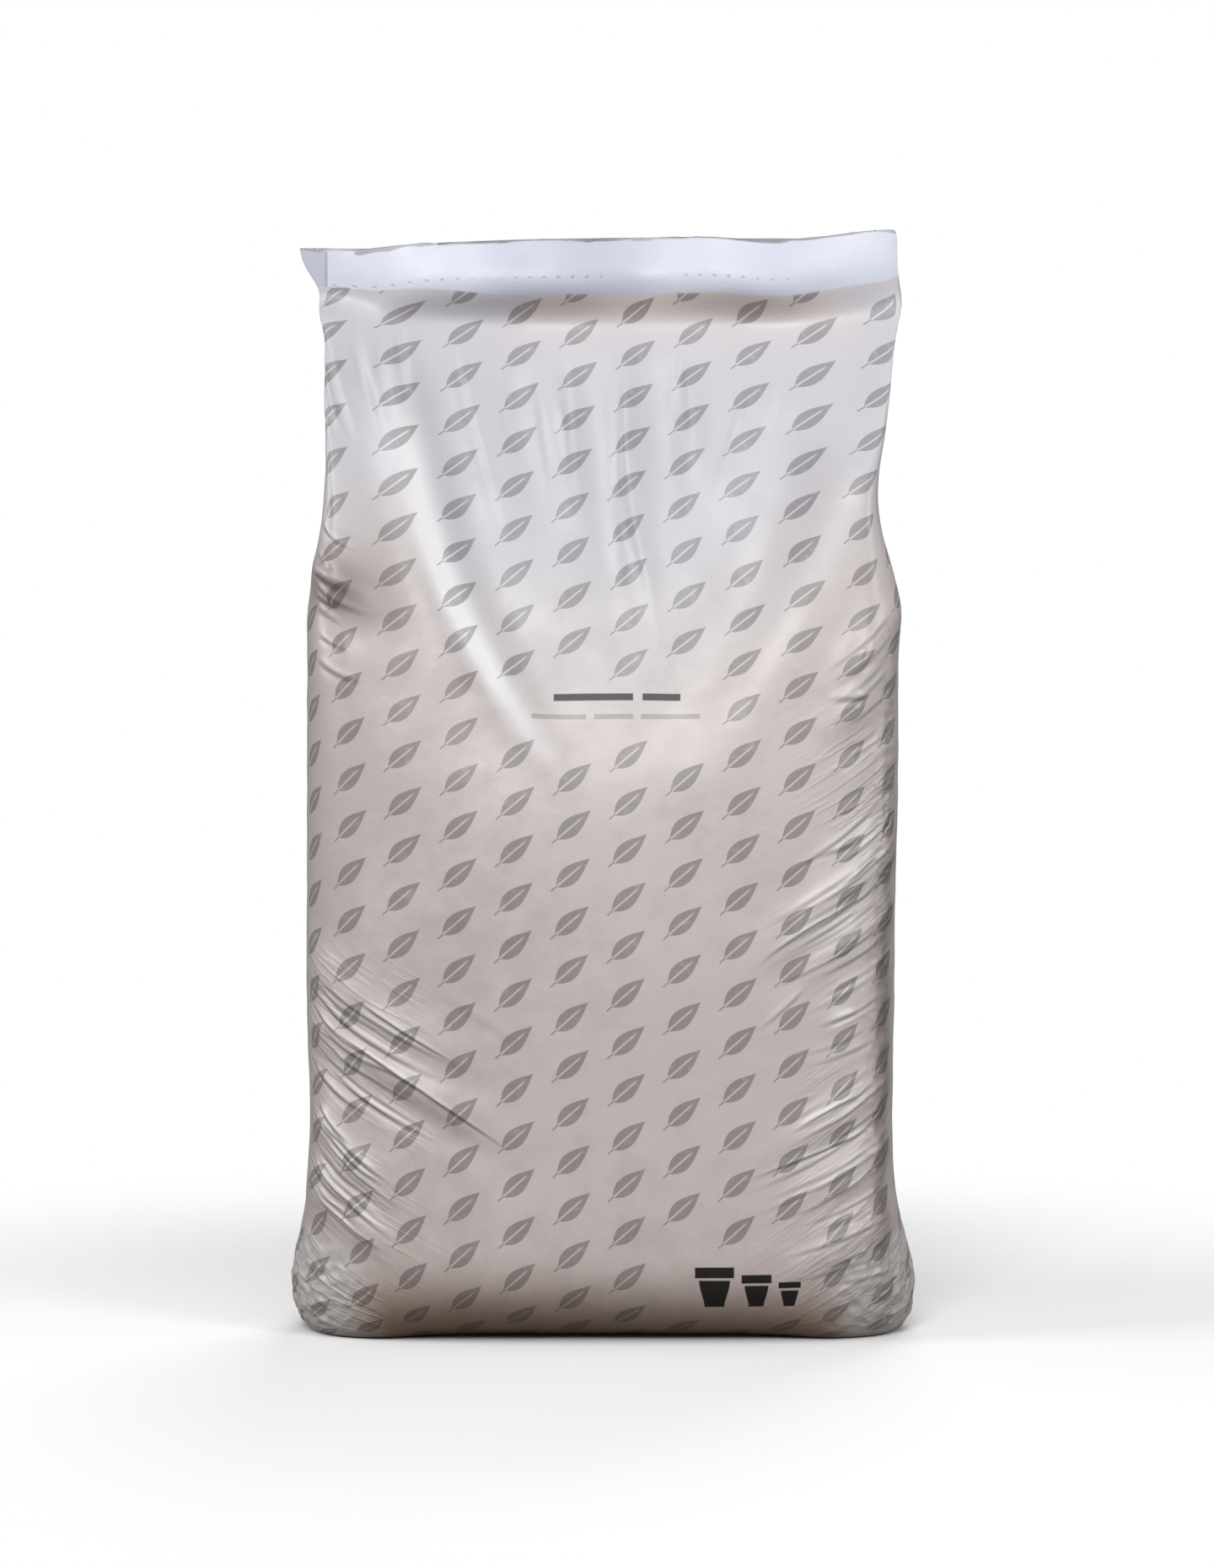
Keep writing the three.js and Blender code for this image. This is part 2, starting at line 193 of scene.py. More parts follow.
def filmRings(bm, base):
    # rings of verts from the floor up, each from the front middle to the right
    ring = list(reversed(base.verts))
    weight = filmForm["middleWeight"]
    start = min(range(len(ring)), key=lambda i: ring[i].co.y + weight * abs(ring[i].co.x))
    rings, seen = [ring[start:] + ring[:start]], set(ring)
    while True:
        lower = rings[-1]
        upper = []
        for a, b in zip(lower, lower[1:] + lower[:1]):
            corners = [v for f in bm.edges.get((a, b)).link_faces for v in f.verts if v not in seen]
            if not corners:
                return rings
            upper.append(corners[0])
        rings.append(upper)
        seen.update(upper)


def meltDiagonals(bm, rings):
    # the solid's wall is a grid of quads, each split in two
    diagonals = []
    for lower, upper in zip(rings, rings[1:]):
        diagonals += [bm.edges.get(pair) for pair in zip(lower[1:] + lower[:1], upper)]
    bmesh.ops.dissolve_edges(bm, edges=diagonals, use_verts=False, use_face_split=False)


def unrollFilm(bm, rings):
    # flat film coordinates in metres: u round the girth from the front middle, v up the film,
    # equal to the height above the floor at the level of the fullest ring
    fullest = filmForm["fullest"] / perMetre
    level = min(range(len(rings)), key=lambda j: abs(rings[j][0].co.z - fullest))
    body = rings[level]
    count = len(body)
    steps = [(body[(i + 1) % count].co - body[i].co).length for i in range(count)]
    girth = sum(steps)
    columnU = [sum(steps[:i]) for i in range(count)]
    columnU = [u if u <= girth / 2 else u - girth for u in columnU]
    rowV = [0.0]
    for lower, upper in zip(rings, rings[1:]):
        rowV.append(rowV[-1] + (upper[0].co - lower[0].co).length)
    rowV = [v - rowV[level] + body[0].co.z for v in rowV]
    place = {v: (columnU[i], rowV[j]) for j, r in enumerate(rings) for i, v in enumerate(r)}
    layer = bm.loops.layers.uv.new("film")
    undersideTop = rowV[0] - filmForm["undersideGap"] / perMetre
    for face in bm.faces:
        spots = [place[loop.vert] for loop in face.loops]
        underside = len(spots) > 4 and spots[0][1] == rowV[0]
        wraps = max(u for u, _ in spots) - min(u for u, _ in spots) > girth / 2
        for loop, (u, v) in zip(face.loops, spots):
            if underside:
                loop[layer].uv = (loop.vert.co.x, undersideTop - loop.vert.co.y)
            else:
                loop[layer].uv = (u + girth if wraps and u < 0 else u, v)
    heights = [r[0].co.z for r in rings]
    headerStart = float(np.interp(filmForm["headerHeight"] / perMetre, heights, rowV))
    return {"girth": girth, "headerStart": headerStart, "top": rowV[-1]}


def quadFilm():
    # the solid's facets welded to quads and unrolled
    weld = filmForm["weld"] / perMetre
    bm = bmesh.new()
    bm.from_mesh(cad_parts["sealed_bag"].data)
    bmesh.ops.remove_doubles(bm, verts=bm.verts, dist=weld)
    underside = [f for f in bm.faces if all(v.co.z < weld for v in f.verts)]
    base = bmesh.ops.dissolve_faces(bm, faces=underside)["region"][0]
    rings = filmRings(bm, base)
    meltDiagonals(bm, rings)
    flat = unrollFilm(bm, rings)
    rim = filmForm["baseRim"] / perMetre
    bmesh.ops.inset_region(bm, faces=[base], thickness=rim, use_even_offset=True)
    print("film grid", len(rings), "rows of", len(rings[0]), {k: round(v, 3) for k, v in flat.items()})
    mesh = bpy.data.meshes.new("quad_film")
    bm.to_mesh(mesh)
    bm.free()
    return mesh, flat


def smoothStep(x, low, high):
    t = np.clip((x - low) / (high - low), 0, 1)
    return t * t * (3 - 2 * t)


def hump(spots, place, reach):
    # 1 at the place, dying away over the reach
    return np.exp(-(((spots - place) / reach) ** 2).sum(1))


def quadraticArc(start, bend, end, count=48):
    t = np.linspace(0, 1, count)[:, None]
    return (1 - t) ** 2 * np.array(start) + 2 * t * (1 - t) * np.array(bend) + t**2 * np.array(end)


def fanCreases(fan, dice):
    # creases spread from the fan's first to its last, each a little out of step
    form = creaseForm
    jitter, mostSag = form["fanJitter"], form["fanSag"]
    first, last = np.array(fan["first"], float), np.array(fan["last"], float)
    for i in range(fan["count"]):
        share = (i + dice.uniform(-jitter, jitter)) / (fan["count"] - 1)
        start, bend, end = first + (last - first) * share
        start = start + (start - bend) * dice.uniform(*form["fanStart"])
        reach = dice.uniform(*form["fanReach"])
        sag = dice.uniform(-mostSag, mostSag)
        yield Crease(
            start,
            start + (bend - start) * reach + np.array((0, sag)),
            start + (end - start) * reach,
            dice.uniform(*fan["crest"]),
            dice.uniform(*fan["width"]),
            fan["tone"],
        )


def allCreases():
    dice = random.Random(creaseForm["seed"])
    creases = list(singleCreases)
    for fan in creaseFans:
        creases.extend(fanCreases(fan, dice))
    return creases


def besideCrease(spots, crease, margin):
    # the spots near a crease, how far above it they are, their place along it and their distance
    line = quadraticArc(crease.start, crease.bend, crease.end)
    inBox = (spots > line.min(0) - margin) & (spots < line.max(0) + margin)
    near = np.where(inBox.all(1))[0]
    offset = spots[near][:, None, :] - line[None]
    nearest = (offset**2).sum(2).argmin(1)
    tangent = np.gradient(line, axis=0)
    upward = np.stack([-tangent[:, 1], tangent[:, 0]], 1)
    upward *= np.where(upward[:, 1:] < 0, -1, 1) / np.linalg.norm(upward, axis=1)[:, None]
    closest = offset[np.arange(len(near)), nearest]
    above = (closest * upward[nearest]).sum(1)
    beyond = (closest * tangent[nearest]).sum(1) / (tangent[nearest] ** 2).sum(1)
    along = np.clip((nearest + beyond) / (len(line) - 1), 0, 1)
    return near, above, along, np.linalg.norm(closest, axis=1)


def cornerShare(spots):
    # 1 on the empty film of the base corners, 0 elsewhere
    girthPlace = np.abs(spots[:, 0])
    share = smoothStep(girthPlace, *crumpleForm["cornerFrom"])
    share *= 1 - smoothStep(girthPlace, *crumpleForm["cornerUntil"])
    return share * (1 - smoothStep(spots[:, 1], *crumpleForm["cornerTo"]))


def edgeShare(spots):
    # how strongly the film is crumpled along the right edge
    away = (spots[:, 0] - crumpleForm["edgePlace"]) / crumpleForm["edgeReach"]
    below = 1 - smoothStep(spots[:, 1], *crumpleForm["edgeTo"])
    return crumpleForm["edgeShare"] * np.exp(-(away**2)) * below


def cutFaces(bm, chosen, longest=0):
    # cuts the chosen faces at their edges over a length in millimetres
    edges = {edge for face, take in zip(bm.faces, chosen) if take for edge in face.edges}
    edges = [edge for edge in edges if edge.calc_length() * perMetre > longest]
    edges.sort(key=lambda edge: edge.index)
    bmesh.ops.subdivide_edges(bm, edges=edges, cuts=1, use_grid_fill=True)


def layOn(bm, smooth):
    for vert in bm.verts:
        vert.co = smooth.find_nearest(vert.co)[0]


def faceSpots(bm):
    # middle of each face in (girth, height), in millimetres
    layer = bm.loops.layers.uv["film"]
    return np.array([
        (sum(loop[layer].uv.x for loop in face.loops) / len(face.loops), face.calc_center_median().z)
        for face in bm.faces
    ]) * perMetre


def smoothFilm(quads):
    # the quads subdivided once, and the smooth film that later points are laid on
    holder = addObject("quad_film", quads)
    steps = holder.modifiers.new("smooth", "SUBSURF")
    steps.uv_smooth = "PRESERVE_BOUNDARIES"
    steps.levels = steps.render_levels = filmMesh["smoothest"]
    smooth = BVHTree.FromObject(holder, bpy.context.evaluated_depsgraph_get())
    steps.levels = steps.render_levels = 1
    mesh = bpy.data.meshes.new_from_object(holder.evaluated_get(bpy.context.evaluated_depsgraph_get()))
    bpy.data.objects.remove(holder)
    bpy.data.meshes.remove(quads)
    mesh.name = "film_bag"
    return mesh, smooth


def foldedFaces(spots, creases):
    # faces of the front under the header or near a crease, and those of the crumpled film
    chosen = spots[:, 1] > filmMesh["headFrom"]
    for crease in creases:
        near, _, _, away = besideCrease(spots, crease, filmMesh["foldReach"])
        chosen[near[away < filmMesh["foldReach"]]] = True
    chosen &= np.abs(spots[:, 0]) < filmMesh["sideFrom"]
    chosen |= (cornerShare(spots) > 0) | (edgeShare(spots) > filmMesh["edgeFine"])
    return chosen & (spots[:, 1] > filmMesh["underside"])


def creasedFaces(spots, creases, reach):
    # faces within the reach below and above a crease
    chosen = np.zeros(len(spots), dtype=bool)
    for crease in creases:
        below, over = (share * min(crease.width, filmMesh["fullWidth"]) for share in reach)
        near, gap, _, away = besideCrease(spots, crease, below)
        chosen[near[(gap > -below) & (gap < over) & (away < below)]] = True
    return chosen


def crumpledFaces(spots):
    return (cornerShare(spots) > filmMesh["cornerFine"]) | (edgeShare(spots) > filmMesh["edgeFine"])


def fineFilm(quads, creases):
    # a smooth film whose mesh is coarse on the back, finer in front and finest along the creases
    narrow = [crease for crease in creases if crease.width < filmMesh["broadWidth"]]
    sharp = [crease for crease in singleCreases if crease.width <= filmMesh["sharpWidth"]]
    mesh, smooth = smoothFilm(quads)
    bm = bmesh.new()
    bm.from_mesh(mesh)
    cutFaces(bm, foldedFaces(faceSpots(bm), creases))
    layOn(bm, smooth)
    spots = faceSpots(bm)
    cutFaces(bm, creasedFaces(spots, narrow, filmMesh["creaseReach"]) | crumpledFaces(spots))
    layOn(bm, smooth)
    cutFaces(bm, creasedFaces(faceSpots(bm), narrow, filmMesh["creaseReach"]), filmMesh["creaseEdge"])
    layOn(bm, smooth)
    cutFaces(bm, creasedFaces(faceSpots(bm), sharp, filmMesh["sharpReach"]), filmMesh["sharpEdge"])
    layOn(bm, smooth)
    bm.to_mesh(mesh)
    bm.free()
    mesh.polygons.foreach_set("use_smooth", np.ones(len(mesh.polygons), dtype=bool))
    mesh.update()
    triangles = sum(len(p.vertices) - 2 for p in mesh.polygons)
    print("film mesh", len(mesh.polygons), "faces,", triangles, "triangles")
    return mesh


def filmSpots(mesh):
    # every vert's place, normal and (girth, height) in millimetres
    count = len(mesh.vertices)
    coords, normals = np.empty(count * 3), np.empty(count * 3)
    mesh.vertices.foreach_get("co", coords)
    mesh.vertices.foreach_get("normal", normals)
    corner = np.empty(len(mesh.loops), dtype=np.int32)
    mesh.loops.foreach_get("vertex_index", corner)
    film = np.empty(len(mesh.loops) * 2)
    mesh.uv_layers["film"].uv.foreach_get("vector", film)
    coords = coords.reshape(-1, 3)
    girthPlace = np.zeros(count)
    girthPlace[corner] = film.reshape(-1, 2)[:, 0]
    return coords, normals.reshape(-1, 3), np.stack([girthPlace, coords[:, 2]], 1) * perMetre


def waves(coords, pitch, shift=(0, 0, 0)):
    return np.array([noise.noise(Vector(c) * perMetre / pitch + Vector(shift)) for c in coords])


def crumple(coords, share):
    # sharp facets like crushed film
    crushed = np.zeros(len(coords))
    for i in np.where(share > crumpleForm["least"])[0]:
        near = noise.voronoi(Vector(coords[i]) * perMetre / crumpleForm["pitch"])[0]
        crushed[i] = near[0] - crumpleForm["blunt"] * near[1]
    return share * crumpleForm["height"] * crushed


def pressCreases(spots, creases):
    # how far the creases lift each vert, and where they put painted shade in their valleys and painted
    # highlight on their crests
    form = creaseForm
    lift, pinched, stretchedHighlight = np.zeros((3, len(spots)))
    for crease in creases:
        near, gap, along, _ = besideCrease(spots, crease, form["margin"] * crease.width)
        gap = gap / crease.width
        ends = smoothStep(along, *form["comesUp"]) * (1 - smoothStep(along, *form["diesAway"]))
        flank = np.where(gap > 0, gap / form["crestSlope"], -gap)
        crest = np.exp(-(flank ** form["crestPower"]))
        valley = np.exp(-((gap + form["dipOffset"]) ** 2))
        lift[near] += crease.crest * ends * (crest - form["dipShare"] * valley)
        tone = crease.tone * ends * min(1, crease.crest / form["fullTone"])
        pinch = form["rightShade"] if crease.start[0] > 0 else 1
        for kept, name, share in ((pinched, "pinchedLine", pinch), (stretchedHighlight, "highlightLine", 1)):
            place, reach = form[name]
            kept[near] = np.maximum(kept[near], share * tone * np.exp(-(((gap - place) / reach) ** 2)))
    return lift, pinched, stretchedHighlight


def creaseFilm(mesh, creases):
    # presses creases, crumples and unevenness into the film and keeps where painted shade and painted
    # highlight go along the creases, with the painted shade of the shaded places
    form = filmForm
    coords, normals, spots = filmSpots(mesh)
    height = spots[:, 1]
    lift, pinched, stretchedHighlight = pressCreases(spots, creases)
    # painted shade at the shaded places
    for place, reach, tone in shades:
        pinched = np.maximum(pinched, tone * hump(spots, place, reach))
    bare = cornerShare(spots)
    lift += crumple(coords, np.maximum(bare, edgeShare(spots)))
    place, reach, fullness = form["bulge"]
    lift += fullness * hump(spots, place, reach)
    lift += form["sway"] * waves(coords, form["swayPitch"])
    resting = 1 - smoothStep(height, *form["lumpsTo"])
    lift += form["lumps"] * resting * waves(coords, form["lumpPitch"], form["lumpShift"])
    lift *= smoothStep(height, *form["calmFoot"])
    lift *= 1 - smoothStep(height, *form["calmHead"])
    coords += normals * lift[:, None] / perMetre
    coords[:, 2] = np.maximum(coords[:, 2], 0)
    mesh.vertices.foreach_set("co", coords.ravel())
    mesh.update()
    print("creases", len(creases), "largest lift", round(float(np.abs(lift).max()), 2), "mm")
    return spots, {"pinched": pinched, "stretchedHighlight": stretchedHighlight, "bare": bare}


def splitAlongCreases(mesh):
    # every face is cut along its shorter diagonal, which is the one that follows a crease
    bm = bmesh.new()
    bm.from_mesh(mesh)
    bmesh.ops.triangulate(bm, faces=bm.faces, quad_method="SHORT_EDGE", ngon_method="BEAUTY")
    bm.to_mesh(mesh)
    bm.free()
    mesh.update()


# where the film leaves the filling on the front, as start, bend and end in (girth, height)
slackEdges = {
    "left": ((-150, 722), (-117, 470), (14, 374)),
    "right": ((230, 660), (112, 570), (20, 400)),
    "leftSoft": (-30, 6),  # distances over which the change happens
    "rightSoft": (-70, 70),
    "tip": (405, 590),  # heights over which the hollow's lower end fades
    "ridge": (3, 10),  # taut ridge beside the left edge, whiter film with a painted highlight: its place and half width
    "ridgeFrom": (400, 500),  # heights between which the ridge comes up
    "ridgeTo": (640, 725),  # and dies away
    "free": (545, 650),  # heights between which the rest of the film comes free
    "frontReach": 225,  # girth where the front ends
}


def slackTones(spots):
    # how far the film hangs free of the filling: the hollow upper front and everything near the header
    edges = slackEdges
    u, z = spots.T
    left, right = (quadraticArc(*edges[side])[::-1] for side in ("left", "right"))
    fromLeft = u - np.interp(z, left[:, 1], left[:, 0])
    fromRight = np.interp(z, right[:, 1], right[:, 0]) - u
    inFront = np.abs(u) < edges["frontReach"]
    hollow = smoothStep(fromLeft, *edges["leftSoft"]) * smoothStep(fromRight, *edges["rightSoft"])
    hollow *= smoothStep(z, *edges["tip"]) * inFront
    ridgePlace, ridgeWidth = edges["ridge"]
    ridge = np.exp(-(((fromLeft - ridgePlace) / ridgeWidth) ** 2)) * inFront
    ridge *= smoothStep(z, *edges["ridgeFrom"]) * (1 - smoothStep(z, *edges["ridgeTo"]))
    return {"slack": np.maximum(hollow, smoothStep(z, *edges["free"])), "ridge": ridge}


def keepTones(mesh, tones):
    for name, values in tones.items():
        attribute = mesh.attributes.new(name, "FLOAT", "POINT")
        attribute.data.foreach_set("value", values.astype(np.float32))


# what a user would change about the film's finish, lengths in metres
filmLook = {
    "resting": (0.56, 0.508, 0.497),  # film lying on the compost
    "damp": (0.48, 0.42, 0.402),  # darker compost showing through
    "cloud": (7.0, 4.0),  # noise of the damp patches: scale and detail
    "crumbs": (46.0, 5.0, 0.65),  # noise of the crumbs: scale, detail and roughness
    "dampMix": (0.6, 0.5),  # shares of cloud and crumbs
    "dampFrom": (0.46, 0.75),  # their sum over which the damp shows
    "dampLean": 0.6,  # more of the damp tone towards the left, per metre, which darkens that side
    "slack": (0.497, 0.48, 0.51),  # film hanging free
    "tautHighlight": (0.77, 0.76, 0.775),  # film stretched white over a ridge, with a painted highlight; also the painted highlight along crease crests
    "pinched": (0.36, 0.32, 0.31),  # painted shade, multiplied in along the valley under a crease and at the shaded places
    "pinchedShare": 0.9,
    "highlightShare": 0.6,  # of the taut tone, as a painted highlight along the crest of a crease
    "silver": (0.53, 0.52, 0.51),  # empty film at the base corners
    "silverShare": 0.8,
    "underBandShade": (0.585, 0.515, 0.495),  # painted warm shade under the welded band
    "underBandShadeZone": (-0.085, 0.175, 0.05),  # from and to round the girth, and depth under the band
    "soiled": (0.42, 0.30, 0.22),  # dust and damp at the foot with painted shade where the film turns under, multiplied in
    "soiledTo": 0.075,
    "soilAndShadeDrift": 0.05,  # unevenness of its upper edge
    "glossPatches": (28.0, 4.0),  # noise of the gloss: scale and detail
    "glossFrom": (0.3, 0.7),  # its values over which the roughness changes
    "roughness": (0.36, 0.5),
    "ior": 1.5,
    "specular": 0.5,
    "inkSpecular": 0.1,  # the heavy ink is dull
    "coat": 0.2,
    "coatRoughness": 0.3,
    "crinkle": (95.0, 0.0006),  # fine crinkles: scale and height
    "grain": (420.0, 0.00008),
    "bump": 0.55,
}

# the welded band above the print
bandLook = {
    "colour": (0.58, 0.60, 0.69),
    "deep": (0.50, 0.505, 0.61),  # more violet part of the band
    "deepZone": (-0.11, 0.06, 0.045),  # from and to across the bag, and softness
    "deepHeight": 1.0,  # far past the band, up and down
    "middle": 0.03,  # the band is widest here
    "bow": (0.09, 0.215, 0.012),  # from and to this far off the middle it gets narrower by the last value
    "edge": 0.0012,  # softness of its lower edge
    "dotRow": 0.013,  # row of dots pressed by the weld, above the band's lower edge
    "dotPitch": 0.0103,
    "dotRadius": 0.0012,
    "dotSoft": (0.5, 1.5),  # a dot's soft edge, in radii
    "dotPatches": (9.0, 2.0),  # noise that leaves some dots out: scale and detail
    "dotShown": (0.4, 0.55),
    "dotDepth": 0.0006,
    "dotTone": (0.74, 0.74, 0.80),
    "cutEdge": 0.0024,  # shaded cut edge along the top
    "cutFull": 0.3,  # share of it that is fully shaded
    "cutPatches": (16.0, 2.0),  # noise that makes it uneven: scale and detail
    "cutShown": (0.3, 0.62, 0.25, 1.0),  # noise values from and to, and the shade there
    "cutTone": (0.2, 0.205, 0.22),
    "earPlace": -0.205,  # folded ear at the left end, in painted shade
    "earEdge": 0.001,
    # painted shade on the folded ear
    "earShade": (0.78, 0.79, 0.8),
    "earFoldShade": (0.4, 0.0014, 0.55),  # painted shade along its fold line: full share, half width and darkness
}

# the all-over leaf print
leafLook = {
    "ink": (0.52, 0.51, 0.52),
    "pitch": (0.0412, 0.0345),
    "half": (0.0165, 0.0066),
    "tilt": 41,  # degrees
    "rib": (0.0003, 0.001),  # from and to beside the middle, the rib's clear line fades
    "ribEnd": (0.2, 0.6),  # share of the half length over which the rib closes
    "taper": 0.5,  # broad base, fine tip
    "stem": (-1.28, -0.9, 0.0009),  # from and to in half lengths, and half width
    "edge": 0.0007,  # softness of a printed edge
    "wornScale": 130.0,  # patches of thin ink
    "worn": (0.25, 0.45, 0.72, 1.0),  # noise values from and to, and the cover there
}

# creases too fine for the mesh, running in and down from the gussets
streakLook = {
    "tilt": 30,  # degrees
    "pitch": 0.009,
    "length": 0.10,
    "noise": (1.0, 2.0, 0.5),  # scale, detail and roughness on the stretched coordinates
    "shift": (7.0, 3.0),  # another piece of the noise on the right, and on the back
    "sideSoft": 0.01,  # distance over which one side's noise takes over
    "narrow": 4.0,  # how much narrower a ridge is than a wave of the noise
    "sharpness": 5,
    "depth": 0.0013,
    "patches": (11.0, 2.0),  # noise that leaves some out: scale and detail
    "patchFrom": (0.4, 0.6),
    "zone": (0.09, 0.2),  # distance from the front middle at which they start and are full
    "leftFade": (0.25, 0.31),  # heights at which they die away
    "rightFade": (0.42, 0.52),
}


class Graph:
    # shorthand for the emptied node tree of a material or world
    def __init__(self, owner):
        owner.use_nodes = True
        self.tree = owner.node_tree
        self.tree.nodes.clear()

    def node(self, kind, settings=None, **inputs):
        made = self.tree.nodes.new(kind)
        for name, value in (settings or {}).items():
            setattr(made, name, value)
        for name, value in inputs.items():
            self.wire(value, made.inputs[name.replace("_", " ")])
        return made

    def wire(self, value, socket):
        if isinstance(value, bpy.types.NodeSocket):
            self.tree.links.new(value, socket)
        else:
            socket.default_value = value

    def maths(self, operation, *values):
        made = self.tree.nodes.new("ShaderNodeMath")
        made.operation = operation
        for value, socket in zip(values, made.inputs):
            self.wire(value, socket)
        return made.outputs[0]

    def ramp(self, value, low, high, outLow=0.0, outHigh=1.0):
        made = self.node("ShaderNodeMapRange", {"interpolation_type": "SMOOTHSTEP"})
        for socket, setting in zip(made.inputs, (value, low, high, outLow, outHigh)):
            self.wire(setting, socket)
        return made.outputs[0]

    def mix(self, share, a, b):
        return self.blend("MIX", share, a, b)

    def blend(self, kind, share, a, b):
        made = self.node("ShaderNodeMix", {"data_type": "RGBA", "blend_type": kind})
        self.wire(share, made.inputs["Factor"])
        for value, name in ((a, "A"), (b, "B")):
            socket = [s for s in made.inputs if s.name == name and s.type == "RGBA"][0]
            self.wire((*value, 1) if isinstance(value, tuple) else value, socket)
        return [s for s in made.outputs if s.type == "RGBA"][0]

    def mixShaders(self, share, first, second):
        made = self.node("ShaderNodeMixShader")
        for value, socket in zip((share, first.outputs[0], second.outputs[0]), made.inputs):
            self.wire(value, socket)
        return made

    def noise(self, where, scale, detail=3.0, roughness=0.55):
        settings = {"Vector": where, "Scale": scale, "Detail": detail, "Roughness": roughness}
        return self.node("ShaderNodeTexNoise", **settings).outputs["Fac"]

    def tone(self, name):
        return self.node("ShaderNodeAttribute", {"attribute_name": name}).outputs["Fac"]

    def turned(self, x, y, degrees):
        # the two coordinates seen along and beside a line tilted by the angle
        cos, sin = math.cos(math.radians(degrees)), math.sin(math.radians(degrees))
        along = self.maths("ADD", self.maths("MULTIPLY", x, cos), self.maths("MULTIPLY", y, sin))
        beside = self.maths("SUBTRACT", self.maths("MULTIPLY", y, cos), self.maths("MULTIPLY", x, sin))
        return along, beside

    def finish(self, kind, shader):
        self.wire(shader.outputs[0], self.node(kind).inputs["Surface"])


def block(g, u, v, low, high, taper=0.0, edge=None):
    # printed block from its low to its high corner, narrower at the foot by the taper
    halfU, halfV = (high[0] - low[0]) / 2, (high[1] - low[1]) / 2
    fromMiddle = g.maths("ABSOLUTE", g.maths("SUBTRACT", u, low[0] + halfU))
    if taper:
        fromMiddle = g.maths("ADD", fromMiddle, g.ramp(v, low[1], high[1], taper, 0.0))
    insideU = g.maths("SUBTRACT", halfU, fromMiddle)
    insideV = g.maths("SUBTRACT", halfV, g.maths("ABSOLUTE", g.maths("SUBTRACT", v, low[1] + halfV)))
    return g.ramp(g.maths("MINIMUM", insideU, insideV), 0.0, edge or leafLook["edge"])


def anyOf(g, masks):
    total = masks[0]
    for mask in masks[1:]:
        total = g.maths("MAXIMUM", total, mask)
    return total


def leafPrint(g, u, v, girth, windows):
    # half-drop rows of small slanted leaves, each split by its rib, an even count round the girth,
    # and no leaf whose middle is in a window
    pitchU, pitchV = leafLook["pitch"]
    pitchU = girth / (2 * round(girth / (2 * pitchU)))
    halfLength, halfWidth = leafLook["half"]
    column = g.maths("FLOOR", g.maths("DIVIDE", u, pitchU))
    middleU = g.maths("MULTIPLY", g.maths("ADD", column, 0.5), pitchU)
    drop = g.maths("MULTIPLY", g.maths("FLOORED_MODULO", column, 2.0), 0.5)
    row = g.maths("FLOOR", g.maths("ADD", g.maths("DIVIDE", v, pitchV), drop))
    middleV = g.maths("MULTIPLY", g.maths("SUBTRACT", g.maths("ADD", row, 0.5), drop), pitchV)
    across, up = g.maths("SUBTRACT", u, middleU), g.maths("SUBTRACT", v, middleV)
    along, beside = g.turned(across, up, leafLook["tilt"])
    beside = g.maths("ABSOLUTE", beside)
    share = g.maths("DIVIDE", along, halfLength)
    fullness = g.maths("SUBTRACT", 1.0, g.maths("MULTIPLY", share, share))
    taper = g.maths("SUBTRACT", 1.0, g.maths("MULTIPLY", share, leafLook["taper"]))
    outline = g.maths("MULTIPLY", g.maths("MULTIPLY", fullness, taper), halfWidth)
    leaf = g.ramp(g.maths("SUBTRACT", outline, beside), 0.0, leafLook["edge"])
    rib = g.maths("MAXIMUM", g.ramp(beside, *leafLook["rib"]), g.ramp(share, *leafLook["ribEnd"]))
    stemFrom, stemTo, stemHalf = leafLook["stem"]
    stem = block(g, along, beside, (stemFrom * halfLength, -stemHalf), (stemTo * halfLength, stemHalf))
    leaves = g.maths("MAXIMUM", g.maths("MULTIPLY", leaf, rib), stem)
    cleared = anyOf(g, [block(g, middleU, middleV, *window) for window in windows])
    return g.maths("MULTIPLY", leaves, g.maths("SUBTRACT", 1.0, cleared))


# plain printed shapes as low and high corners in film coordinates
printedShapes = {
    "windows": [((-0.066, 0.444), (0.084, 0.491)), ((0.054, 0.008), (0.170, 0.074))],  # bare of leaves
    "darkBars": [((-0.036, 0.471), (0.022, 0.477)), ((0.028, 0.471), (0.056, 0.477))],
    "paleBars": [
        ((-0.052, 0.457), (-0.012, 0.4615)),
        ((-0.007, 0.457), (0.022, 0.4615)),
        ((0.027, 0.457), (0.070, 0.4615)),
    ],
    "barInk": (0.06, 0.058, 0.06),
    "barCover": (0.9, 0.4),  # dark and pale
    "pots": [(0.068, 0.030, 0.034), (0.103, 0.024, 0.028), (0.132, 0.019, 0.022)],  # left, width, height
    "potFoot": 0.025,
    "potRim": 0.74,  # height of the rim's lower edge, as a share of the pot
    "potBody": (0.1, 0.14, 0.0012),  # set in and taper as shares of the width, and gap under the rim
    "potInk": (0.007, 0.0065, 0.007),
    "potCover": 0.97,
}


def potPrint(g, u, v):
    masks = []
    foot = printedShapes["potFoot"]
    setIn, taper, gap = printedShapes["potBody"]
    for left, width, height in printedShapes["pots"]:
        rim = foot + height * printedShapes["potRim"]
        masks.append(block(g, u, v, (left, rim), (left + width, foot + height)))
        low, high = (left + width * setIn, foot), (left + width * (1 - setIn), rim - gap)
        masks.append(block(g, u, v, low, high, width * taper))
    return anyOf(g, masks)


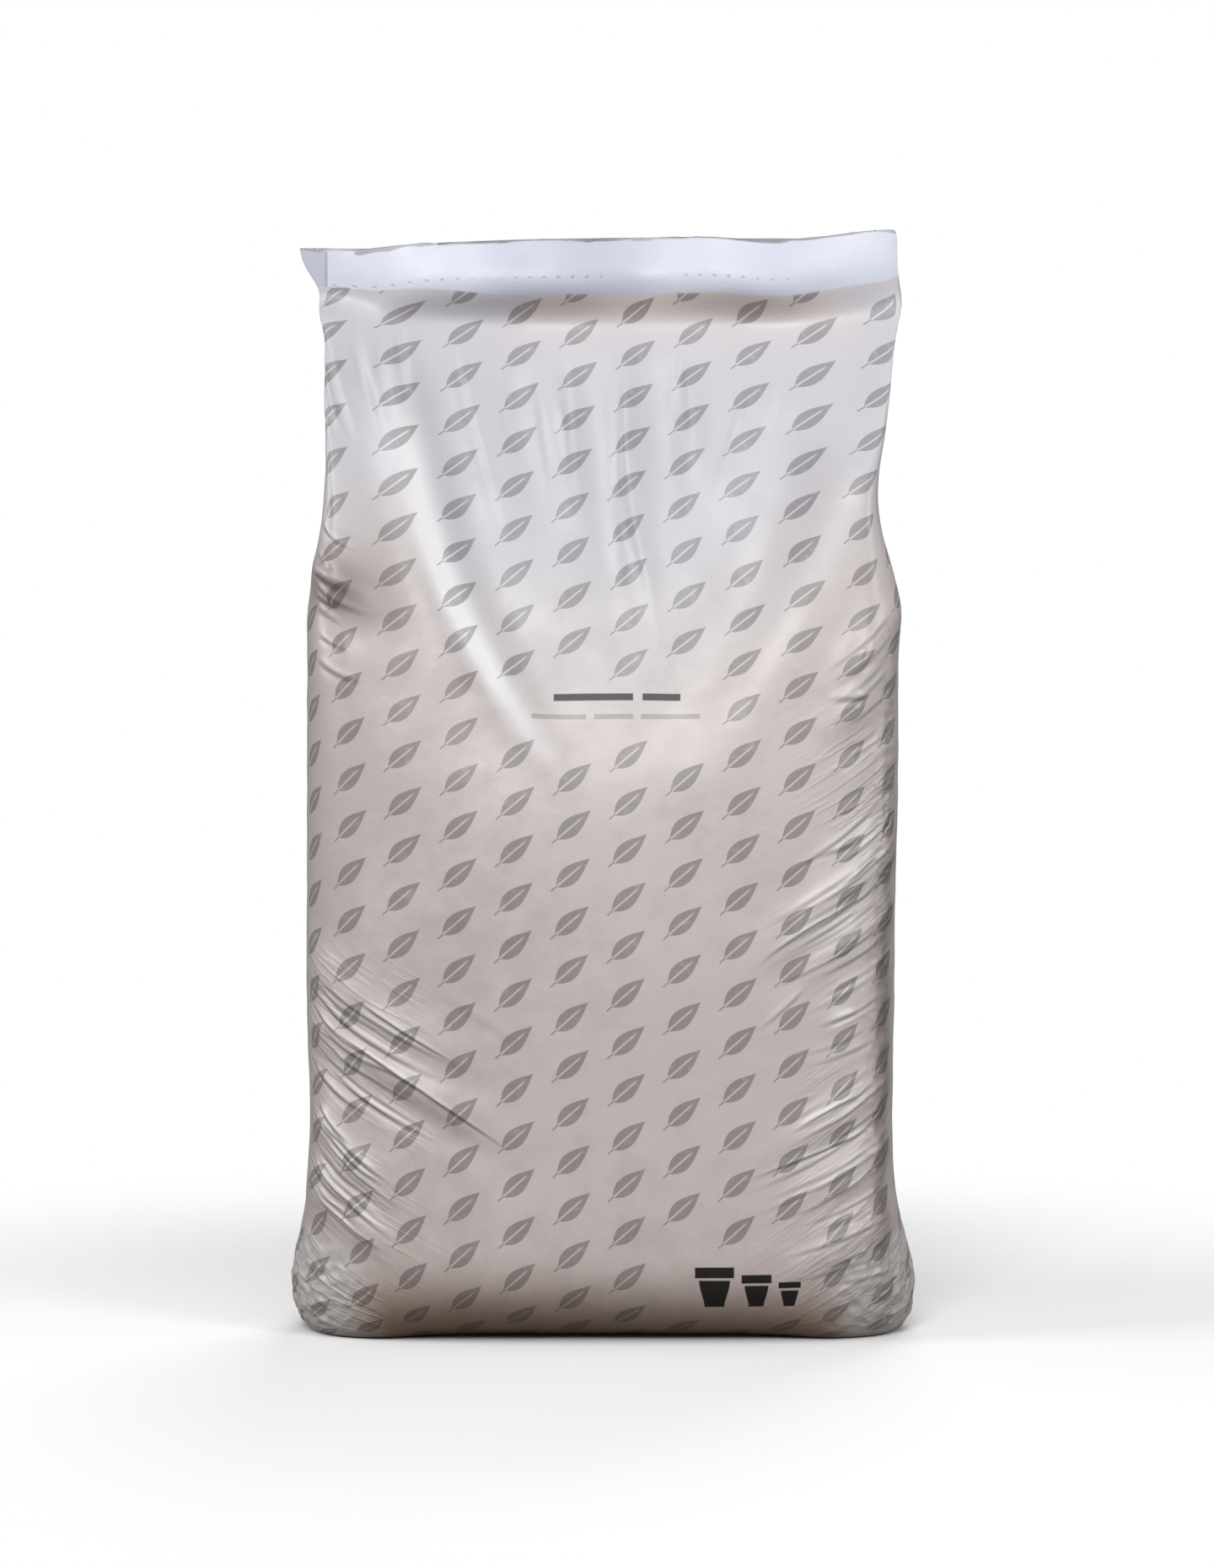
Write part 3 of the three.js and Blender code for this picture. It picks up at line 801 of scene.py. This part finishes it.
def printOver(g, colour, u, v, where, girth):
    # leaves all over, with two clear windows for the bars and the pots
    shapes = printedShapes
    leaves = leafPrint(g, u, v, girth, shapes["windows"])
    worn = g.ramp(g.noise(where, leafLook["wornScale"]), *leafLook["worn"])
    colour = g.blend("MULTIPLY", g.maths("MULTIPLY", leaves, worn), colour, leafLook["ink"])
    bars = {}
    for name, cover in zip(("darkBars", "paleBars"), shapes["barCover"]):
        mask = anyOf(g, [block(g, u, v, *bar) for bar in shapes[name]])
        bars[name] = g.maths("MULTIPLY", mask, cover)
        colour = g.mix(bars[name], colour, shapes["barInk"])
    pots = g.maths("MULTIPLY", potPrint(g, u, v), shapes["potCover"])
    return g.mix(pots, colour, shapes["potInk"]), g.maths("MAXIMUM", pots, bars["darkBars"])


def weldDots(g, u, v, where, start):
    look = bandLook
    pitch = look["dotPitch"]
    dotU = g.maths("SUBTRACT", g.maths("FRACT", g.maths("DIVIDE", u, pitch)), 0.5)
    dotU = g.maths("MULTIPLY", dotU, pitch)
    dotV = g.maths("SUBTRACT", v, start + look["dotRow"])
    away = g.maths("SQRT", g.maths("ADD", g.maths("MULTIPLY", dotU, dotU), g.maths("MULTIPLY", dotV, dotV)))
    softFrom, softTo = (look["dotRadius"] * share for share in look["dotSoft"])
    dots = g.ramp(away, softFrom, softTo, 1.0, 0.0)
    return g.maths("MULTIPLY", dots, g.ramp(g.noise(where, *look["dotPatches"]), *look["dotShown"]))


def bandOver(g, colour, u, v, where, flat):
    # the unprinted welded band, with its row of pressed dots, its folded ear in painted shade with a painted
    # dark fold line, and its shaded cut edge
    look = bandLook
    start, top = flat["headerStart"], flat["top"]
    across = g.node("ShaderNodeSeparateXYZ", Vector=where).outputs["X"]
    bowFrom, bowTo, bow = look["bow"]
    off = g.maths("ABSOLUTE", g.maths("SUBTRACT", u, look["middle"]))
    edge = g.maths("SUBTRACT", v, g.ramp(off, bowFrom, bowTo, 0.0, bow))
    band = g.ramp(edge, start - look["edge"], start + look["edge"])
    deepFrom, deepTo, deepSoft = look["deepZone"]
    low, high = (deepFrom, start - look["deepHeight"]), (deepTo, start + look["deepHeight"])
    banded = g.mix(block(g, across, v, low, high, edge=deepSoft), look["colour"], look["deep"])

    dots = weldDots(g, u, v, where, start)
    banded = g.blend("MULTIPLY", dots, banded, look["dotTone"])

    # painted shade over the folded ear
    earShadeMask = g.ramp(across, look["earPlace"] - look["earEdge"], look["earPlace"], 1.0, 0.0)
    banded = g.blend("MULTIPLY", earShadeMask, banded, look["earShade"])
    # painted dark line along the ear's fold
    lineFull, lineHalf, lineCover = look["earFoldShade"]
    line = g.maths("ABSOLUTE", g.maths("SUBTRACT", across, look["earPlace"]))
    line = g.ramp(line, lineHalf * lineFull, lineHalf, lineCover, 0.0)
    cut = g.ramp(v, top - look["cutEdge"], top - look["cutEdge"] * look["cutFull"])
    cut = g.maths("MULTIPLY", cut, g.ramp(g.noise(where, *look["cutPatches"]), *look["cutShown"]))
    banded = g.mix(g.maths("MAXIMUM", cut, line), banded, look["cutTone"])
    return g.mix(band, colour, banded), dots


def tensionStreaks(g, u, v, where, girth):
    # thin ridges at both gussets, in front and behind
    look = streakLook
    quarter, soft = girth / 4, look["sideSoft"]
    side = g.maths("ABSOLUTE", u)
    folded = g.maths("SUBTRACT", quarter, g.maths("ABSOLUTE", g.maths("SUBTRACT", side, quarter)))
    along, beside = g.turned(folded, v, look["tilt"])
    isRight = g.ramp(u, -soft, soft)
    isBack = g.ramp(side, quarter - soft, quarter + soft)
    rightShift, backShift = (g.maths("MULTIPLY", *pair) for pair in zip((isRight, isBack), look["shift"]))
    spread = g.node(
        "ShaderNodeCombineXYZ",
        X=g.maths("DIVIDE", beside, look["pitch"]),
        Y=g.maths("DIVIDE", along, look["length"]),
        Z=g.maths("ADD", rightShift, backShift),
    )
    wave = g.maths("SUBTRACT", g.noise(spread.outputs[0], *look["noise"]), noiseMean)
    ridge = g.maths("SUBTRACT", 1.0, g.maths("ABSOLUTE", g.maths("MULTIPLY", wave, look["narrow"])))
    ridge = g.maths("POWER", g.maths("MAXIMUM", ridge, 0.0), look["sharpness"])
    patches = g.ramp(g.noise(where, *look["patches"]), *look["patchFrom"])
    fadeFrom, fadeTo = (g.ramp(isRight, 0.0, 1.0, *ends) for ends in zip(look["leftFade"], look["rightFade"]))
    zone = g.maths("MULTIPLY", g.ramp(folded, *look["zone"]), g.ramp(v, fadeFrom, fadeTo, 1.0, 0.0))
    return g.maths("MULTIPLY", ridge, g.maths("MULTIPLY", zone, patches))


def filmTones(g, u, v, where, flat):
    # the unprinted film: compost showing through, slack film, whiter film with a painted highlight over the
    # ridge and the creases' crests, painted warm shade under the band, damp, and soil with painted shade at
    # the foot
    look = filmLook
    cloud, crumbs = g.noise(where, *look["cloud"]), g.noise(where, *look["crumbs"])
    damp = g.maths("ADD", *(g.maths("MULTIPLY", *pair) for pair in zip((cloud, crumbs), look["dampMix"])))
    across, foot = (g.node("ShaderNodeSeparateXYZ", Vector=where).outputs[axis] for axis in "XZ")
    damp = g.maths("SUBTRACT", damp, g.maths("MULTIPLY", across, look["dampLean"]))
    damp = g.ramp(damp, *look["dampFrom"])
    colour = g.mix(damp, look["resting"], look["damp"])
    colour = g.mix(g.tone("slack"), colour, look["slack"])
    # whiter film with a painted highlight along the taut ridge
    colour = g.mix(g.tone("ridge"), colour, look["tautHighlight"])
    silver = g.maths("MULTIPLY", g.tone("bare"), look["silverShare"])
    colour = g.mix(silver, colour, look["silver"])
    # painted highlight along the crests of the creases
    colour = g.mix(g.maths("MULTIPLY", g.tone("stretchedHighlight"), look["highlightShare"]), colour, look["tautHighlight"])
    # painted warm shade just under the welded band
    shadeFrom, shadeTo, shadeDepth = look["underBandShadeZone"]
    start = flat["headerStart"]
    bandShade = block(g, u, v, (shadeFrom, start - shadeDepth), (shadeTo, start + shadeDepth), edge=shadeDepth)
    colour = g.mix(bandShade, colour, look["underBandShade"])
    # soil and painted shade at the foot, darker towards the floor
    drift = g.maths("MULTIPLY", g.maths("SUBTRACT", cloud, noiseMean), look["soilAndShadeDrift"])
    foot = g.ramp(g.maths("ADD", foot, drift), 0.0, look["soiledTo"], 1.0, 0.0)
    foot = g.maths("MULTIPLY", foot, g.maths("SUBTRACT", 1.0, silver))
    return g.blend("MULTIPLY", foot, colour, look["soiled"])


def filmMaterial(flat):
    look = filmLook
    material = bpy.data.materials.new("printed_film")
    g = Graph(material)
    film = g.node("ShaderNodeUVMap", {"uv_map": "film"}).outputs["UV"]
    split = g.node("ShaderNodeSeparateXYZ", Vector=film)
    u, v = split.outputs["X"], split.outputs["Y"]
    where = g.node("ShaderNodeTexCoord").outputs["Object"]

    colour = filmTones(g, u, v, where, flat)
    colour, heavyInk = printOver(g, colour, u, v, where, flat["girth"])
    # painted shade in the valleys of the creases and at the shaded places
    pinched = g.maths("MULTIPLY", g.tone("pinched"), look["pinchedShare"])
    colour = g.blend("MULTIPLY", pinched, colour, look["pinched"])
    colour, dots = bandOver(g, colour, u, v, where, flat)

    gloss = g.ramp(g.noise(where, *look["glossPatches"]), *look["glossFrom"], *look["roughness"])
    height = g.maths("MULTIPLY", tensionStreaks(g, u, v, where, flat["girth"]), streakLook["depth"])
    for scale, depth in (look["crinkle"], look["grain"]):
        height = g.maths("ADD", height, g.maths("MULTIPLY", g.noise(where, scale), depth))
    height = g.maths("SUBTRACT", height, g.maths("MULTIPLY", dots, bandLook["dotDepth"]))
    bump = g.node("ShaderNodeBump", Strength=look["bump"], Distance=1.0, Height=height)
    shader = g.node(
        "ShaderNodeBsdfPrincipled",
        Base_Color=colour,
        Roughness=gloss,
        Normal=bump.outputs["Normal"],
        IOR=look["ior"],
        Specular_IOR_Level=g.ramp(heavyInk, 0.0, 1.0, look["specular"], look["inkSpecular"]),
        Coat_Weight=g.ramp(heavyInk, 0.0, 1.0, look["coat"], 0.0),
        Coat_Roughness=look["coatRoughness"],
    )
    g.finish("ShaderNodeOutputMaterial", shader)
    return material


def makeBag():
    creases = allCreases()
    quads, flat = quadFilm()
    mesh = fineFilm(quads, creases)
    spots, tones = creaseFilm(mesh, creases)
    splitAlongCreases(mesh)
    tones.update(slackTones(spots))
    keepTones(mesh, tones)
    mesh.materials.clear()
    mesh.materials.append(filmMaterial(flat))
    bag = addObject("film_bag", mesh)
    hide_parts("sealed_bag")
    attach(bag, "root")
    print("bag film", len(mesh.polygons), "faces")


# floor, light and camera
studio = {
    "floorRadius": 3.0,
    "floorSides": 96,
    "floorFade": (0.4, 0.95),  # the floor melts into the backdrop over this range
    "floorSeen": (0.9, 0.9, 0.9, 1),
    "floorShed": (0.34, 0.32, 0.3, 1),  # what the floor throws back at the bag
    "backdrop": 1.0,
    "backdropColour": (1, 1, 1, 1),
    "ambient": 0.2,
    "ambientColour": (0.97, 0.98, 1, 1),
    "lights": {
        "key": {"place": (-0.4, -2.8, 2.2), "size": 1.1, "power": 39},
        "sky": {"place": (0.1, -1.9, 3.0), "size": 2.0, "power": 31},
        "left": {"place": (-2.5, -0.8, 1.4), "size": 0.9, "power": 30},
        "right": {"place": (2.0, -2.0, 1.4), "size": 0.8, "power": 27},
        "behind": {"place": (0.7, 2.6, 2.0), "size": 1.8, "power": 45},
    },
    "target": (0.003, 0.0, 0.405),
    "distance": 3.0,
    "elevation": 2.0,  # degrees
    "sensor": 36,
    "frameHeight": 1.165,  # metres seen from top to bottom at the bag
}


def makeFloor():
    bm = bmesh.new()
    bmesh.ops.create_circle(bm, cap_ends=True, segments=studio["floorSides"], radius=studio["floorRadius"])
    mesh = bpy.data.meshes.new("floor")
    bm.to_mesh(mesh)
    bm.free()
    floor = addObject("floor", mesh)
    material = bpy.data.materials.new("pale_floor")
    g = Graph(material)
    where = g.node("ShaderNodeTexCoord").outputs["Object"]
    away = g.node("ShaderNodeVectorMath", {"operation": "LENGTH"}, Vector=where).outputs["Value"]
    path = g.node("ShaderNodeLightPath")
    seen = g.node("ShaderNodeBsdfDiffuse", Color=studio["floorSeen"])
    shed = g.node("ShaderNodeBsdfDiffuse", Color=studio["floorShed"])
    paper = g.mixShaders(path.outputs["Is Camera Ray"], shed, seen)
    clear = g.node("ShaderNodeBsdfTransparent")
    fading = g.mixShaders(g.ramp(away, *studio["floorFade"]), paper, clear)
    g.finish("ShaderNodeOutputMaterial", fading)
    mesh.materials.append(material)


def makeLight():
    world = bpy.data.worlds.new("studio")
    bpy.context.scene.world = world
    g = Graph(world)
    seen = g.node("ShaderNodeBackground", Color=studio["backdropColour"], Strength=studio["backdrop"])
    shed = g.node("ShaderNodeBackground", Color=studio["ambientColour"], Strength=studio["ambient"])
    path = g.node("ShaderNodeLightPath")
    g.finish("ShaderNodeOutputWorld", g.mixShaders(path.outputs["Is Camera Ray"], shed, seen))
    aim = Vector(studio["target"])
    for name, setting in studio["lights"].items():
        data = bpy.data.lights.new(name, "AREA")
        data.size = setting["size"]
        data.energy = setting["power"]
        lamp = addObject(name, data)
        lamp.location = setting["place"]
        lamp.rotation_euler = (aim - lamp.location).to_track_quat("-Z", "Y").to_euler()


def makeCamera():
    data = bpy.data.cameras.new("camera")
    data.sensor_width = studio["sensor"]
    data.lens = data.sensor_width * studio["distance"] / studio["frameHeight"]
    camera = addObject("camera", data)
    tilt = math.radians(studio["elevation"])
    back = Vector((0, -math.cos(tilt), math.sin(tilt)))
    camera.location = Vector(studio["target"]) + back * studio["distance"]
    camera.rotation_euler = (-back).to_track_quat("-Z", "Y").to_euler()
    bpy.context.scene.camera = camera


makeBag()
makeFloor()
makeLight()
makeCamera()
bpy.context.scene.view_settings.view_transform = "Standard"
print("studio set")
